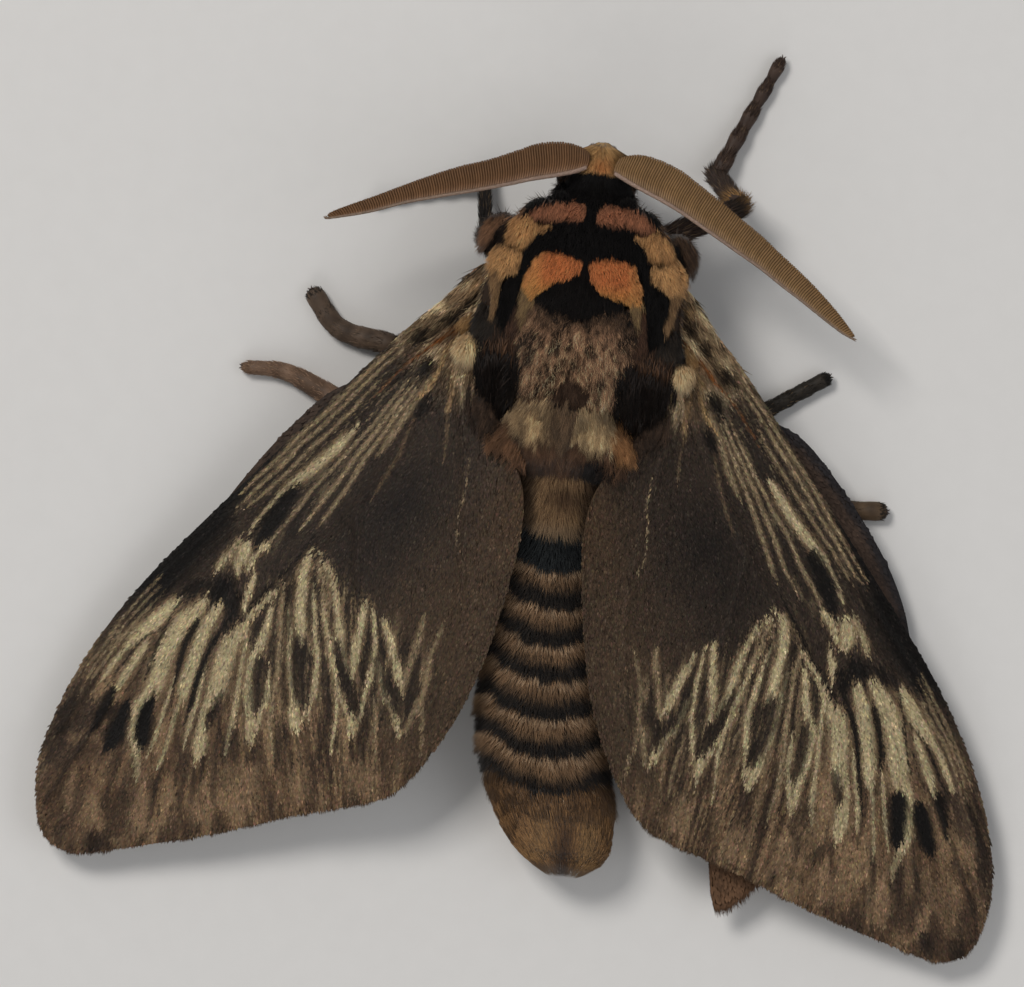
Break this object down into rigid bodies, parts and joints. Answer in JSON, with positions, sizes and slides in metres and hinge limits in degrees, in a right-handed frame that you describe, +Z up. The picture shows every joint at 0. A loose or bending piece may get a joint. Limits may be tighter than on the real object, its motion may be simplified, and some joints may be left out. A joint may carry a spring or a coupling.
{
  "type": "flannel moth",
  "caption": "Life-size still model of a hairy moth at rest, wings spread low over the body's sides and comb-like antennae held out.",
  "frame": {"origin": "middle of the part's box in plan, at the height of the surface that it rests on", "axes": "+Z up, out of the moth's back; the head points to -Y; the moth's own left side is at +X"},
  "size_m": [0.0442, 0.04, 0.0093],
  "materials": {
    "wing_scales": "matte scales",
    "thorax_coat": "long hair",
    "black_coat": "long black hair",
    "abdomen_coat": "banded hair",
    "tail_tuft": "golden hair",
    "head_tuft": "tan hair",
    "antenna_comb": "fine comb",
    "leg_scales": "close scales",
    "eye_facets": "glossy"
  },
  "bodies": {
    "root": {"abdomen_1": "abdomen_coat", "abdomen_2": "abdomen_coat", "abdomen_3": "abdomen_coat", "abdomen_4": "abdomen_coat", "abdomen_5": "abdomen_coat", "abdomen_6": "abdomen_coat", "abdomen_7": "abdomen_coat", "abdomen_8": "abdomen_coat", "abdomen_tip": "tail_tuft", "antenna_left": "antenna_comb", "antenna_right": "antenna_comb", "eye_left": "eye_facets", "eye_right": "eye_facets", "forewing_left": "wing_scales", "forewing_right": "wing_scales", "head": "head_tuft", "hindwing_left": "wing_scales", "hindwing_right": "wing_scales", "leg_fore_left_femur": "leg_scales", "leg_fore_left_tarsus": "leg_scales", "leg_fore_left_tibia": "leg_scales", "leg_fore_right_femur": "leg_scales", "leg_fore_right_tarsus": "leg_scales", "leg_fore_right_tibia": "leg_scales", "leg_hind_left_femur": "leg_scales", "leg_hind_left_tarsus": "leg_scales", "leg_hind_left_tibia": "leg_scales", "leg_hind_right_femur": "leg_scales", "leg_hind_right_tarsus": "leg_scales", "leg_hind_right_tibia": "leg_scales", "leg_mid_left_femur": "leg_scales", "leg_mid_left_tarsus": "leg_scales", "leg_mid_left_tibia": "leg_scales", "leg_mid_right_femur": "leg_scales", "leg_mid_right_tarsus": "leg_scales", "leg_mid_right_tibia": "leg_scales", "palp_left": "head_tuft", "palp_right": "head_tuft", "tegula_left": "black_coat", "tegula_right": "black_coat", "thorax": "thorax_coat"}
  },
  "joints": []
}
